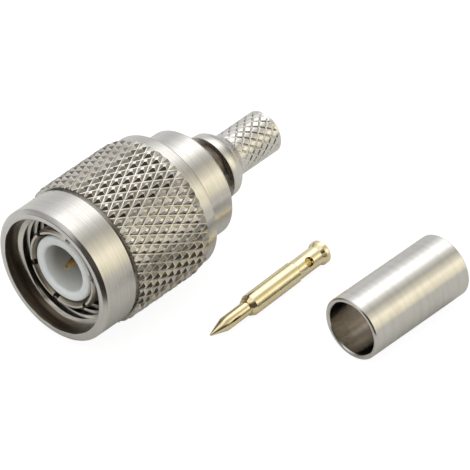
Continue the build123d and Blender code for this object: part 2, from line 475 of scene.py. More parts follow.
# Near-black copy of the nickel for the wall inside the nut's mouth: painted shade in the recess.
SHADED_WALL_NICKEL = TurnedMetal(
    "bored_nickel_painted_shade", Slot.NICKEL,
    (0.20, 0.16, 0.12), (0.09, 0.072, 0.056), 0.40, 0.08, Marks.BORED
)
# Dark brown copy of the nickel for the groove behind the body: painted shade in the groove.
SHADED_GROOVE_NICKEL = TurnedMetal(
    "grooved_nickel_painted_shade", Slot.NICKEL,
    (0.26, 0.225, 0.19), (0.11, 0.09, 0.07), 0.26, 0.08, Marks.GROOVED
)
BORE_NICKEL = TurnedMetal(
    "drawn_bore", Slot.NICKEL,
    (0.68, 0.65, 0.61), (0.54, 0.51, 0.465), 0.18, 0.08, Marks.DRAWN
)
DRAWN_NICKEL = TurnedMetal(
    "drawn_nickel", Slot.NICKEL,
    (0.71, 0.695, 0.665), (0.64, 0.62, 0.59), 0.21, 0.07, Marks.DRAWN
)
# Darker, browner copy of the spring nickel for the lead-in inside the fingers: painted shade.
SHADED_LEAD_IN_NICKEL = TurnedMetal(
    "lead_in_painted_shade", Slot.SPRING_NICKEL,
    (0.56, 0.50, 0.41), (0.38, 0.33, 0.26), 0.32, 0.10, Marks.SPRUNG
)
SPRING_NICKEL = TurnedMetal(
    "spring_nickel", Slot.SPRING_NICKEL,
    (0.70, 0.665, 0.60), (0.58, 0.54, 0.47), 0.30, 0.10, Marks.SPRUNG
)
GOLD = TurnedMetal(
    "polished_gold", Slot.GOLD,
    (0.93, 0.82, 0.55), (0.85, 0.71, 0.43), 0.11, 0.06, Marks.POLISHED
)
# Darker, browner copy of the gold for the contact seated in the pocket: painted shade.
PAINTED_SHADE_GOLD = TurnedMetal(
    "shaded_gold", Slot.GOLD,
    (0.66, 0.45, 0.19), (0.50, 0.32, 0.12), 0.20, 0.07, Marks.POLISHED
)


# Mesh building


def chain(bm: BMesh, points: Sequence[Point], closed: bool) -> list[BMEdge]:
    """Draw an outline beside the axis, straight below it.

    Args:
        bm: The mesh to draw in.
        points: Pairs of station and radius.
        closed: Whether the last point joins the first.

    Returns:
        The outline's edges in order.
    """
    corners = [bm.verts.new((x, 0.0, -radius)) for x, radius in points]
    ends = corners[1:] + (corners[:1] if closed else [])
    return [bm.edges.new(pair) for pair in zip(corners, ends)]


def turn(
    bm: BMesh, edges: Sequence[BMEdge], steps: int, turns: int = 1, pitch: float = 0.0
) -> None:
    """Spin an outline around the X axis and close the seam.

    Args:
        bm: The mesh that holds the outline.
        edges: The outline.
        steps: How many steps one turn has.
        turns: How often it goes round.
        pitch: How far it moves along the axis with each turn.
    """
    corners = {v for e in edges for v in e.verts}
    bmesh.ops.spin(
        bm,
        geom=[*corners, *edges],
        cent=ORIGIN,
        axis=AXIS,
        dvec=AXIS * (pitch / steps),
        angle=2 * math.pi * turns,
        steps=steps * turns,
        use_merge=not pitch,
    )
    bmesh.ops.remove_doubles(bm, verts=bm.verts, dist=NEAR)


def revolve(bm: BMesh, points: Sequence[Point], steps: int, closed: bool = True) -> None:
    """Draw an outline and spin it once around the axis, in a number of steps."""
    turn(bm, chain(bm, points, closed), steps)


def radius_of(vert: BMVert) -> float:
    """Return a corner's distance from the axis."""
    return math.hypot(vert.co.y, vert.co.z)


def set_radius(vert: BMVert, radius: float) -> None:
    """Move a corner straight out from the axis, or in."""
    share = radius / radius_of(vert)
    vert.co.y *= share
    vert.co.z *= share


def ring_edges(bm: BMesh, x: float, radius: float) -> list[BMEdge]:
    """Find the circle of edges at a station and radius."""
    on = {v for v in bm.verts if abs(v.co.x - x) < NEAR and abs(radius_of(v) - radius) < 2 * NEAR}
    return [e for e in bm.edges if on.issuperset(e.verts)]


def sharp_edges(bm: BMesh, degrees: float = 30.0) -> list[BMEdge]:
    """Find the edges whose faces meet at more than an angle."""
    limit = math.radians(degrees)
    return [e for e in bm.edges if e.is_manifold and e.calc_face_angle(0.0) > limit]


def round_off(bm: BMesh, edges: Sequence[BMEdge], width: float, segments: int = 2) -> None:
    """Bevel edges.

    Args:
        bm: The mesh.
        edges: The edges to bevel.
        width: How far each side moves.
        segments: How many faces stand for the rounding.
    """
    bmesh.ops.bevel(
        bm,
        geom=list(edges),
        offset=width,
        offset_type="OFFSET",
        segments=segments,
        profile=0.5,
        affect="EDGES",
        clamp_overlap=True,
        material=-1,
    )


def trim(bm: BMesh, station: float, outwards: float) -> None:
    """Cut a mesh off at a station.

    Args:
        bm: The mesh.
        station: Where the cut is.
        outwards: 1 to take away what lies beyond it, -1 for what lies before it.
    """
    bmesh.ops.bisect_plane(
        bm,
        geom=[*bm.verts, *bm.edges, *bm.faces],
        dist=SAME,
        plane_co=AXIS * station,
        plane_no=AXIS * outwards,
        clear_outer=True,
    )


def merge(bm: BMesh, part: BMesh) -> None:
    """Add a mesh to another and use it up.

    Args:
        bm: The mesh that grows.
        part: The mesh that is added.
    """
    mesh = bpy.data.meshes.new("part")
    part.to_mesh(mesh)
    part.free()
    bm.from_mesh(mesh)
    bpy.data.meshes.remove(mesh)


def close_gap(bm: BMesh, station: float) -> None:
    """Fill between the open rings of edges at a station."""
    on = {v for v in bm.verts if abs(v.co.x - station) < NEAR}
    rings = [e for e in bm.edges if e.is_boundary and on.issuperset(e.verts)]
    bmesh.ops.triangle_fill(bm, use_beauty=True, edges=rings, normal=AXIS)


def as_object(bm: BMesh, name: str) -> bpy.types.Object:
    """Put a mesh into the scene and use it up.

    Args:
        bm: The mesh.
        name: The object's name.

    Returns:
        The object.
    """
    mesh = bpy.data.meshes.new(name)
    bm.to_mesh(mesh)
    bm.free()
    made = bpy.data.objects.new(name, mesh)
    bpy.context.scene.collection.objects.link(made)
    return made


@dataclass
class Piece:
    """A finished piece, named after the solid that it replaces.

    The facets that have a finish numbered in flat stay flat.
    """

    replaces: str
    finishes: Sequence[Finish]
    body: Body = Body.PLUG
    seat: Seat = Seat()
    flat: Sequence[int] = ()
    evenness: int = 60

    def finish(self, bm: BMesh, smooth_to: float = 40.0) -> None:
        """Turn a mesh into a dressed object that rides on its body.

        Args:
            bm: The mesh in millimetres, along its own axis.
            smooth_to: The angle in degrees up to which faces shade as one surface.
        """
        bmesh.ops.recalc_face_normals(bm, faces=bm.faces)
        open_edges = sum(1 for e in bm.edges if not e.is_manifold)
        bm.transform(Matrix.Scale(MM, 4) @ self.seat.matrix)
        made = as_object(bm, f"{self.replaces}_dressed")
        mesh = made.data
        mesh.shade_smooth()
        mesh.set_sharp_from_angle(angle=math.radians(smooth_to))
        for polygon in mesh.polygons:
            if polygon.material_index in self.flat:
                for corner in polygon.loop_indices:
                    mesh.edges[mesh.loops[corner].edge_index].use_edge_sharp = True
        for finish in self.finishes:
            mesh.materials.append(finish.material(self.seat))
        weighted = made.modifiers.new("even_shading", "WEIGHTED_NORMAL")
        weighted.mode = "FACE_AREA"
        weighted.weight = self.evenness
        weighted.keep_sharp = True
        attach(made, self.body.value)
        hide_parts(self.replaces)
        LOG.info("%s: %d faces, %d open edges", made.name, len(mesh.polygons), open_edges)


def carve(bm: BMesh, cutters: Sequence[BMesh]) -> BMesh:
    """Take solids out of a mesh.

    Args:
        bm: The closed mesh to cut, which is used up.
        cutters: The closed meshes to take out, which are used up.

    Returns:
        The cut mesh.
    """
    things = []
    for source in (bm, *cutters):
        bmesh.ops.recalc_face_normals(source, faces=source.faces)
        things.append(as_object(source, "blank"))
    blank, *tools = things
    for tool in tools:
        cut = blank.modifiers.new("cut", "BOOLEAN")
        cut.operation = "DIFFERENCE"
        cut.solver = "EXACT"
        cut.object = tool
    graph = bpy.context.evaluated_depsgraph_get()
    result = bmesh.new()
    result.from_object(blank, graph)
    for thing in things:
        mesh = thing.data
        bpy.data.objects.remove(thing)
        bpy.data.meshes.remove(mesh)
    bmesh.ops.remove_doubles(result, verts=result.verts, dist=SAME)
    return result


# Sub-assemblies


class NutFinish(IntEnum):
    """The nut's finishes by their place in its material slots."""

    BAND = 0
    KNURL = 1
    THREAD = 2
    WALL = 3
    PAINTED_HIGHLIGHT = 4


@dataclass
class CouplingNut:
    """The knurled nut: plain front band, diamond knurl, rear band, thread and ring groove."""

    steps: int = 180
    mouth_x: float = -6.40
    mouth_r: float = 5.87
    thread_start_x: float = -5.03
    band_r: float = 6.76
    band_end_x: float = -2.45
    face_chamfer: float = 0.38
    face_chamfer_length: float = 0.31
    undercut_r: float = 6.45
    knurl_start_x: float = -2.15
    knurl_pitch: float = 1.92
    knurl_end_x: float = 6.989
    knurl_rows: int = 9
    knurl_lead: float = 0.586
    knurl_turn: float = 3.08
    knurl_count: int = 45
    knurl_crest_r: float = 7.25
    knurl_depth: float = 0.40
    groove_width: float = 0.075
    ridge_width: float = 0.028
    tip_percent: float = 30.0
    knurl_end_rise: float = 0.20
    knurl_fade: float = 0.50
    valley_highlight: float = 0.06
    tip_highlight: float = 0.16
    tail_r: float = 6.80
    end_x: float = 8.389
    tail_chamfer: float = 0.15
    bore_r: float = 4.80
    bore_x: float = 1.80
    relief_r: float = 5.60
    ring_x: float = 5.25
    ring_groove_r: float = 5.25
    ring_groove_width: float = 0.80
    thread_end_x: float = 0.90
    thread_pitch: float = 0.907
    thread_crest_r: float = 5.15
    thread_root_r: float = 5.56
    thread_flat: float = 0.215
    thread_lead_r: float = 5.50
    thread_lead_slope: float = 2.6
    rim_round: float = 0.05
    face_round: float = 0.07
    tail_round: float = 0.03
    bore_round: float = 0.04
    smooth_to: float = 30.0

    def _front(self, bm: BMesh) -> None:
        """Add the mouth, the front face, the band and the groove before the knurl."""
        outline = [
            (self.thread_start_x, self.mouth_r),
            (self.mouth_x, self.mouth_r),
            (self.mouth_x, self.band_r - self.face_chamfer),
            (self.mouth_x + self.face_chamfer_length, self.band_r),
            (self.band_end_x, self.band_r),
            (self.band_end_x, self.undercut_r),
            (self.knurl_start_x, self.undercut_r),
        ]
        revolve(bm, outline, self.steps, closed=False)
        # The counterbore wall inside the mouth gets the near-black nickel: painted shade.
        for face in bm.faces:
            if all(abs(radius_of(v) - self.mouth_r) < NEAR for v in face.verts):
                face.material_index = NutFinish.WALL

    def _rear(self, bm: BMesh) -> None:
        """Add the rear band, the rear face and the bore up to the thread's relief."""
        half = self.ring_groove_width / 2
        outline = [
            (self.knurl_end_x, self.tail_r),
            (self.end_x - self.tail_chamfer, self.tail_r),
            (self.end_x, self.tail_r - self.tail_chamfer),
            (self.end_x, self.bore_r),
            (self.ring_x + half, self.bore_r),
            (self.ring_x + half, self.ring_groove_r),
            (self.ring_x - half, self.ring_groove_r),
            (self.ring_x - half, self.bore_r),
            (self.bore_x, self.bore_r),
            (self.bore_x, self.relief_r),
            (self.thread_end_x, self.relief_r),
        ]
        revolve(bm, outline, self.steps, closed=False)

    def _stations(self) -> list[float]:
        """Return the stations of the knurl's rows, with one beyond each end."""
        half = self.knurl_pitch / 2
        first = self.knurl_start_x + self.knurl_lead - half
        return [first + i * half for i in range(self.knurl_rows + 2)]

    def _knurl(self, bm: BMesh) -> None:
        """Add the sleeve of pyramids, with rounded valleys and blunt ridges."""
        root_r = self.knurl_crest_r - self.knurl_depth
        stations = self._stations()
        sleeve = bmesh.new()
        outline = chain(sleeve, [(x, root_r) for x in stations], closed=False)
        turn(sleeve, outline, 2 * self.knurl_count)
        peaks = {v for v in sleeve.verts if self._is_peak(v, stations)}
        for face in list(sleeve.faces):
            low = [v for v in face.verts if v not in peaks]
            bmesh.utils.face_split(face, low[0], low[1])
        for vert in peaks:
            set_radius(vert, self.knurl_crest_r)
        bmesh.ops.recalc_face_normals(sleeve, faces=sleeve.faces)
        inner = [e for e in sleeve.edges if e.is_manifold]
        valleys = [e for e in inner if not peaks.intersection(e.verts)]
        round_off(sleeve, valleys, self.groove_width)
        top = self.knurl_crest_r - NEAR
        bmesh.ops.bevel(
            sleeve,
            geom=[v for v in sleeve.verts if radius_of(v) > top and not v.is_boundary],
            offset=self.tip_percent,
            offset_type="PERCENT",
            segments=1,
            profile=0.5,
            affect="VERTICES",
            material=-1,
        )
        middle = self.knurl_crest_r - self.knurl_depth / 2
        inner = [e for e in sleeve.edges if e.is_manifold]
        spans = [(e, [radius_of(v) for v in e.verts]) for e in inner]
        ridges = [e for e, radii in spans if min(radii) < middle < max(radii)]
        round_off(sleeve, ridges, self.ridge_width, 1)
        trim(sleeve, self.knurl_start_x, -1.0)
        trim(sleeve, self.knurl_end_x, 1.0)
        for vert in sleeve.verts:
            ahead = self.knurl_end_x - vert.co.x
            limit = self.tail_r + self.knurl_end_rise + self.knurl_fade * ahead
            if radius_of(vert) > limit:
                set_radius(vert, limit)
        # Faces in the valley bottoms and on the tips get the lighter nickel as painted highlight;
        # the other facets get the darker nickel as painted shade.
        valley_r, tip_r = root_r + self.valley_highlight, self.knurl_crest_r - self.tip_highlight
        for face in sleeve.faces:
            radii = [radius_of(v) for v in face.verts]
            wear_and_highlight = max(radii) < valley_r or min(radii) > tip_r
            face.material_index = NutFinish.PAINTED_HIGHLIGHT if wear_and_highlight else NutFinish.KNURL
        sleeve.transform(Matrix.Rotation(math.radians(self.knurl_turn), 4, "X"))
        merge(bm, sleeve)

    def _is_peak(self, vert: BMVert, stations: Sequence[float]) -> bool:
        """Return whether a corner of the knurl is a pyramid's tip."""
        row = min(range(len(stations)), key=lambda i: abs(stations[i] - vert.co.x))
        column = round(math.atan2(vert.co.y, -vert.co.z) * self.knurl_count / math.pi)
        return (row + column) % 2 == 0

    def _thread(self, bm: BMesh) -> None:
        """Add the helical wall of the thread, trimmed at both ends and opened at its lead."""
        pitch = self.thread_pitch
        slope = pitch / 2 - self.thread_flat
        outline = [
            (0.0, self.thread_crest_r),
            (self.thread_flat, self.thread_crest_r),
            (self.thread_flat + slope, self.thread_root_r),
            (2 * self.thread_flat + slope, self.thread_root_r),
            (pitch, self.thread_crest_r),
        ]
        start = self.thread_start_x - 2 * pitch
        wall = bmesh.new()
        edges = chain(wall, [(start + x, radius) for x, radius in outline], closed=False)
        turns = math.ceil((self.thread_end_x - start) / pitch) + 2
        turn(wall, edges, self.steps, turns, pitch)
        trim(wall, self.thread_start_x, -1.0)
        trim(wall, self.thread_end_x, 1.0)
        for vert in wall.verts:
            lead = self.thread_lead_r - self.thread_lead_slope * (vert.co.x - self.thread_start_x)
            if radius_of(vert) < lead:
                set_radius(vert, lead)
        for face in wall.faces:
            face.material_index = NutFinish.THREAD
        merge(bm, wall)

    def build(self) -> None:
        """Build the nut."""
        bm = bmesh.new()
        self._front(bm)
        self._rear(bm)
        self._knurl(bm)
        self._thread(bm)
        ends = (self.thread_start_x, self.knurl_start_x, self.knurl_end_x, self.thread_end_x)
        for station in ends:
            close_gap(bm, station)
        for x, radius, width in (
            (self.mouth_x, self.mouth_r, self.rim_round),
            (self.mouth_x, self.band_r - self.face_chamfer, self.face_round),
            (self.mouth_x + self.face_chamfer_length, self.band_r, self.rim_round),
            (self.band_end_x, self.band_r, self.rim_round),
            (self.end_x - self.tail_chamfer, self.tail_r, self.tail_round),
            (self.end_x, self.tail_r - self.tail_chamfer, self.tail_round),
            (self.end_x, self.bore_r, self.bore_round),
        ):
            round_off(bm, ring_edges(bm, x, radius), width, 3)
        # The knurl's facets carry painted shade, its valleys and tips painted highlight, and the
        # mouth's wall painted shade.
        finishes = (SATIN_NICKEL, SHADED_KNURL_NICKEL, CUT_NICKEL, SHADED_WALL_NICKEL, HIGHLIT_KNURL_NICKEL)
        piece = Piece("coupling_nut", finishes, Body.NUT, flat=(NutFinish.KNURL,))
        piece.finish(bm, self.smooth_to)


@dataclass
class PlugBody:
    """The bored body that the nut turns on, with the shoulder seen behind the nut."""

    steps: int = 160
    front_x: float = 0.80
    body_r: float = 4.74
    ring_x: float = 5.25
    groove_r: float = 4.20
    groove_width: float = 1.10
    shoulder_x: float = 8.589
    shoulder_r: float = 5.43
    end_x: float = 12.189
    end_chamfer: float = 0.40
    stem_seat_r: float = 3.60
    stem_seat_x: float = 9.939
    bore_r: float = 2.95
    finger_seat_x: float = 2.80
    finger_seat_r: float = 4.10
    edge_round: float = 0.035

    def build(self) -> None:
        """Build the body."""
        bm = bmesh.new()
        half = self.groove_width / 2
        outline = [
            (self.front_x, self.finger_seat_r),
            (self.front_x, self.body_r),
            (self.ring_x - half, self.body_r),
            (self.ring_x - half, self.groove_r),
            (self.ring_x + half, self.groove_r),
            (self.ring_x + half, self.body_r),
            (self.shoulder_x, self.body_r),
            (self.shoulder_x, self.shoulder_r),
            (self.end_x - self.end_chamfer, self.shoulder_r),
            (self.end_x, self.shoulder_r - self.end_chamfer),
            (self.end_x, self.stem_seat_r),
            (self.stem_seat_x, self.stem_seat_r),
            (self.stem_seat_x, self.bore_r),
            (self.finger_seat_x, self.bore_r),
            (self.finger_seat_x, self.finger_seat_r),
        ]
        revolve(bm, outline, self.steps)
        round_off(bm, sharp_edges(bm), self.edge_round, 3)
        Piece("connector_body", (SATIN_NICKEL,)).finish(bm)


@dataclass
class SpringFingers:
    """The slotted outer contact inside the nut's mouth."""

    steps: int = 180
    tip_x: float = -5.15
    outer_r: float = 4.08
    bore_r: float = 3.45
    tip_chamfer: float = 0.18
    lead_in: float = 0.27
    lead_in_length: float = 0.40
    slot_width: float = 0.55
    slot_length: float = 4.60
    slot_count: int = 6
    slot_angle: float = 43.0
    collar_r: float = 4.33
    collar_end_x: float = 0.80
    seat_x: float = 2.80
    edge_round: float = 0.03
    edge_angle: float = 50.0

    def _saw(self, degrees: float) -> BMesh:
        """Make the flat saw that cuts two slots opposite each other."""
        saw = bmesh.new()
        bmesh.ops.create_cube(saw, size=1.0)
        size = (2 * self.slot_length, 3 * self.outer_r, self.slot_width, 1.0)
        bmesh.ops.transform(
            saw,
            verts=saw.verts,
            matrix=Matrix.Translation((self.tip_x, 0.0, 0.0))
            @ Matrix.Rotation(math.radians(degrees), 4, "X")
            @ Matrix.Diagonal(size),
        )
        return saw

    def build(self) -> None:
        """Build the slotted ring."""
        bm = bmesh.new()
        outline = [
            (self.tip_x, self.bore_r + self.lead_in),
            (self.tip_x, self.outer_r - self.tip_chamfer),
            (self.tip_x + self.tip_chamfer, self.outer_r),
            (0.0, self.outer_r),
            (0.0, self.collar_r),
            (self.collar_end_x, self.collar_r),
            (self.collar_end_x, self.outer_r),
            (self.seat_x, self.outer_r),
            (self.seat_x, self.bore_r),
            (self.tip_x + self.lead_in_length, self.bore_r),
        ]
        revolve(bm, outline, self.steps)
        # The lead-in chamfer inside the fingers gets the darker brown nickel: painted shade.
        for face in bm.faces:
            radii = [radius_of(v) for v in face.verts]
            rise = max(radii) - min(radii)
            if min(radii) < self.bore_r + NEAR < max(radii) and rise < self.lead_in + NEAR:
                face.material_index = SECOND_FINISH
        turns = [self.slot_angle + i * 360.0 / self.slot_count for i in range(self.slot_count // 2)]
        bm = carve(bm, [self._saw(degrees) for degrees in turns])
        round_off(bm, sharp_edges(bm, self.edge_angle), self.edge_round)
        Piece("spring_fingers", (SPRING_NICKEL, SHADED_LEAD_IN_NICKEL)).finish(bm)


@dataclass
class Insulator:
    """The white core with a wide soft-edged pocket."""

    steps: int = 128
    face_x: float = -5.00
    outer_r: float = 3.32
    edge: float = 0.15
    pocket_r: float = 2.38
    pocket_round: float = 0.28
    pocket_floor_x: float = 0.25
    bore_r: float = 1.06
    step_x: float = 2.80
    tail_r: float = 2.93
    tail_x: float = 9.889
    edge_round: float = 0.04

    def build(self) -> None:
        """Build the core."""
        bm = bmesh.new()
        outline = [
            (self.face_x, self.pocket_r),
            (self.face_x, self.outer_r - self.edge),
            (self.face_x + self.edge, self.outer_r),
            (self.step_x, self.outer_r),
            (self.step_x, self.tail_r),
            (self.tail_x, self.tail_r),
            (self.tail_x, self.bore_r),
            (self.pocket_floor_x, self.bore_r),
            (self.pocket_floor_x, self.pocket_r),
        ]
        revolve(bm, outline, self.steps)
        pocket = ring_edges(bm, self.face_x, self.pocket_r)
        others = [e for e in sharp_edges(bm) if e not in pocket]
        round_off(bm, pocket, self.pocket_round, 6)
        round_off(bm, [e for e in others if e.is_valid], self.edge_round)
        Piece("insulator", (ClearWhitePlastic(),)).finish(bm)


@dataclass
class ContactPin:
    """A pointed pin on a barrel, with a flanged cup and a side window."""

    replaces: str
    seat: Seat
    finish: TurnedMetal
    steps: int = 72
    tip_r: float = 0.10
    point_length: float = 1.95
    pin_r: float = 0.665
    pin_length: float = 4.95
    barrel_chamfer_r: float = 0.82
    barrel_chamfer: float = 0.50
    barrel_r: float = 1.04
    barrel_end: float = 11.42
    cup_outer_r: float = 0.95
    cup_step: float = 0.12
    flare_start: float = 14.60
    flange_start: float = 14.95
    flange_r: float = 1.17
    flange_edge: float = 0.10
    length: float = 15.50
    cup_r: float = 0.50
    cup_depth: float = 4.20
    cup_cone: float = 0.30
    window_r: float = 0.48
    window_station: float = 13.00
    window_margin: float = 0.12
    window_steps: int = 40
    edge_round: float = 0.025
    edge_angle: float = 28.0
    smooth_to: float = 22.0

    def build(self) -> None:
        """Build the contact."""
        bm = bmesh.new()
        bottom = self.length - self.cup_depth
        plain = self.window_r + self.window_margin
        outline = [
            (0.0, 0.0),
            (0.0, self.tip_r),
            (self.point_length, self.pin_r),
            (self.pin_length, self.pin_r),
            (self.pin_length, self.barrel_chamfer_r),
            (self.pin_length + self.barrel_chamfer, self.barrel_r),
            (self.barrel_end, self.barrel_r),
            (self.barrel_end + self.cup_step, self.cup_outer_r),
            (self.window_station - plain, self.cup_outer_r),
            (self.window_station + plain, self.cup_outer_r),
            (self.flare_start, self.cup_outer_r),
            (self.flange_start, self.flange_r),
            (self.length - self.flange_edge, self.flange_r),
            (self.length, self.flange_r - self.flange_edge),
            (self.length, self.cup_r),
            (bottom, self.cup_r),
            (bottom - self.cup_cone, 0.0),
        ]
        revolve(bm, outline, self.steps, closed=False)
        drill = bmesh.new()
        bmesh.ops.create_cone(
            drill,
            cap_ends=True,
            segments=self.window_steps,
            radius1=self.window_r,
            radius2=self.window_r,
            depth=2 * self.flange_r,
            matrix=Matrix.Translation((self.window_station, 0.0, self.flange_r)),
        )
        bm = carve(bm, [drill])
        round_off(bm, sharp_edges(bm, self.edge_angle), self.edge_round)
        piece = Piece(self.replaces, (self.finish,), seat=self.seat)
        piece.finish(bm, self.smooth_to)


@dataclass
class CrimpStem:
    """The stem behind the body: groove, collar, soft cone and lightly knurled neck."""

    steps: int = 240
    seat_x: float = 9.939
    seat_r: float = 3.58
    body_end_x: float = 12.189
    groove_r: float = 2.75
    groove_step_r: float = 3.02
    groove_step: float = 0.45
    groove_end_x: float = 14.389
    collar_r: float = 3.33
    collar_tail_r: float = 3.22
    collar_end_x: float = 15.439
    neck_x: float = 16.889
    neck_r: float = 2.16
    end_x: float = 22.189
    neck_edge: float = 0.18
    bore_r: float = 1.50
    cup_r: float = 2.00
    cup_depth: float = 1.20
    pattern_count: int = 15
    pattern_pitch: float = 1.07
    pattern_start: float = 0.30
    pattern_end: float = 0.35
    groove_depth: float = 0.075
    groove_half: float = 0.075
    ring_spacing: float = 0.05
    ring_slack: float = 0.02
    cone_rings: int = 24
    cone_reach: float = 0.60
    cone_straightness: float = 0.45
    fade_in_start: float = 0.35
    fade_in_length: float = 1.30
    fade_out_length: float = 0.25
    edge_round: float = 0.035

    def _engrave(self, bm: BMesh) -> None:
        """Press the shallow crossing grooves into the neck."""
        per_mm = self.pattern_count / (2 * math.pi * self.neck_r)
        steepness = math.sqrt((1 / self.pattern_pitch) ** 2 + per_mm**2)
        for vert in bm.verts:
            radius = radius_of(vert)
            behind = vert.co.x - self.neck_x
            if behind < -self.cone_reach or radius < self.neck_r - self.ring_slack:
                continue
            along = (behind - self.pattern_start) / self.pattern_pitch
            turns = math.atan2(vert.co.y, -vert.co.z) / (2 * math.pi) * self.pattern_count
            depth = 0.0
            for lean in (1.0, -1.0):
                gap = abs((along + lean * turns) % 1.0 - 0.5) / steepness
                depth = max(depth, 1.0 - (gap / self.groove_half) ** 2)
            left = self.end_x - self.pattern_end - vert.co.x
            fade_in = min(1.0, max(0.0, (behind + self.fade_in_start) / self.fade_in_length))
            fade_out = min(1.0, max(0.0, left / self.fade_out_length))
            if depth > 0.0:
                set_radius(vert, radius - self.groove_depth * depth * fade_in * fade_out)

    def _soften_cone(self, bm: BMesh) -> None:
        """Bend the straight cone behind the collar into a soft hollow sweep."""
        length = self.neck_x - self.collar_end_x
        drop = self.collar_tail_r - self.neck_r
        for vert in bm.verts:
            share = (vert.co.x - self.collar_end_x) / length
            if NEAR < share < 1 - NEAR and radius_of(vert) > self.neck_r - self.ring_slack / 2:
                eased = share * share * (3 - 2 * share)
                sweep = self.cone_straightness * share + (1 - self.cone_straightness) * eased
                set_radius(vert, self.collar_tail_r - drop * sweep)

    def build(self) -> None:
        """Build the stem."""
        bm = bmesh.new()
        outline = [
            (self.seat_x, self.cup_r),
            (self.seat_x, self.seat_r),
            (self.body_end_x, self.seat_r),
            (self.body_end_x, self.groove_step_r),
            (self.body_end_x + self.groove_step, self.groove_step_r),
            (self.body_end_x + self.groove_step, self.groove_r),
            (self.groove_end_x, self.groove_r),
            (self.groove_end_x, self.collar_r),
            (self.collar_end_x, self.collar_tail_r),
            (self.neck_x, self.neck_r),
            (self.end_x - self.neck_edge, self.neck_r),
            (self.end_x, self.neck_r - self.neck_edge),
            (self.end_x, self.bore_r),
            (self.seat_x + self.cup_depth, self.bore_r),
            (self.seat_x + self.cup_depth, self.cup_r),
        ]
        edges = chain(bm, outline, closed=True)
        cone, neck = edges[8:10]
        rings = int(neck.calc_length() / self.ring_spacing)
        bmesh.ops.subdivide_edges(bm, edges=[neck], cuts=rings)
        bmesh.ops.subdivide_edges(bm, edges=[cone], cuts=self.cone_rings)
        turn(bm, list(bm.edges), self.steps)
        self._soften_cone(bm)
        self._engrave(bm)
        # The groove's faces get the dark nickel: painted shade in the recess.
        for face in bm.faces:
            x = face.calc_center_median().x
            inside = self.body_end_x - NEAR < x < self.groove_end_x - NEAR
            if inside and min(radius_of(v) for v in face.verts) > self.bore_r + NEAR:
                face.material_index = SECOND_FINISH
        rims = (
            (self.groove_end_x, self.collar_r),
            (self.groove_end_x, self.groove_r),
            (self.body_end_x + self.groove_step, self.groove_step_r),
            (self.end_x, self.bore_r),
        )
        round_off(bm, [e for x, radius in rims for e in ring_edges(bm, x, radius)], self.edge_round)
        Piece("crimp_stem", (STEM_NICKEL, SHADED_GROOVE_NICKEL)).finish(bm)


@dataclass
class CrimpFerrule:
    """The plain tube that is crimped over the braid."""

    steps: int = 192
    outer_r: float = 3.17
    bore_r: float = 2.70
    length: float = 12.54
    chamfer: float = 0.12
    x: float = 10.01
    y: float = -21.60
    yaw: float = -0.9
    edge_round: float = 0.03

    def build(self) -> None:
        """Build the ferrule."""
        bm = bmesh.new()
        outline = [
            (self.chamfer, self.bore_r),
            (0.0, self.bore_r + self.chamfer),
            (0.0, self.outer_r - self.chamfer),
            (self.chamfer, self.outer_r),
            (self.length - self.chamfer, self.outer_r),
            (self.length, self.outer_r - self.chamfer),
            (self.length, self.bore_r + self.chamfer),
            (self.length - self.chamfer, self.bore_r),
        ]
        revolve(bm, outline, self.steps)
        for face in bm.faces:
            if all(radius_of(v) < self.bore_r + NEAR for v in face.verts):
                face.material_index = SECOND_FINISH
        round_off(bm, sharp_edges(bm), self.edge_round, 3)
        place = Matrix.Translation((self.x, self.y, TABLE_Z + self.outer_r))
        seat = Seat(place @ Matrix.Rotation(math.radians(self.yaw), 4, "Z"))
        Piece("crimp_ferrule", (DRAWN_NICKEL, BORE_NICKEL), seat=seat).finish(bm)


@dataclass
class KeptSolids:
    """The solids whose shapes stay as they are and get a finish."""

    def dress(self) -> None:
        """Give each kept solid its finish."""
        for name, finish in (("gasket", SealRubber()), ("retaining_ring", SPRING_NICKEL)):
            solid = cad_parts[name]
            made = finish.material(Seat())
            for slot in solid.material_slots:
                slot.material = made
            LOG.info("%s: kept, finish %s", name, finish.name)


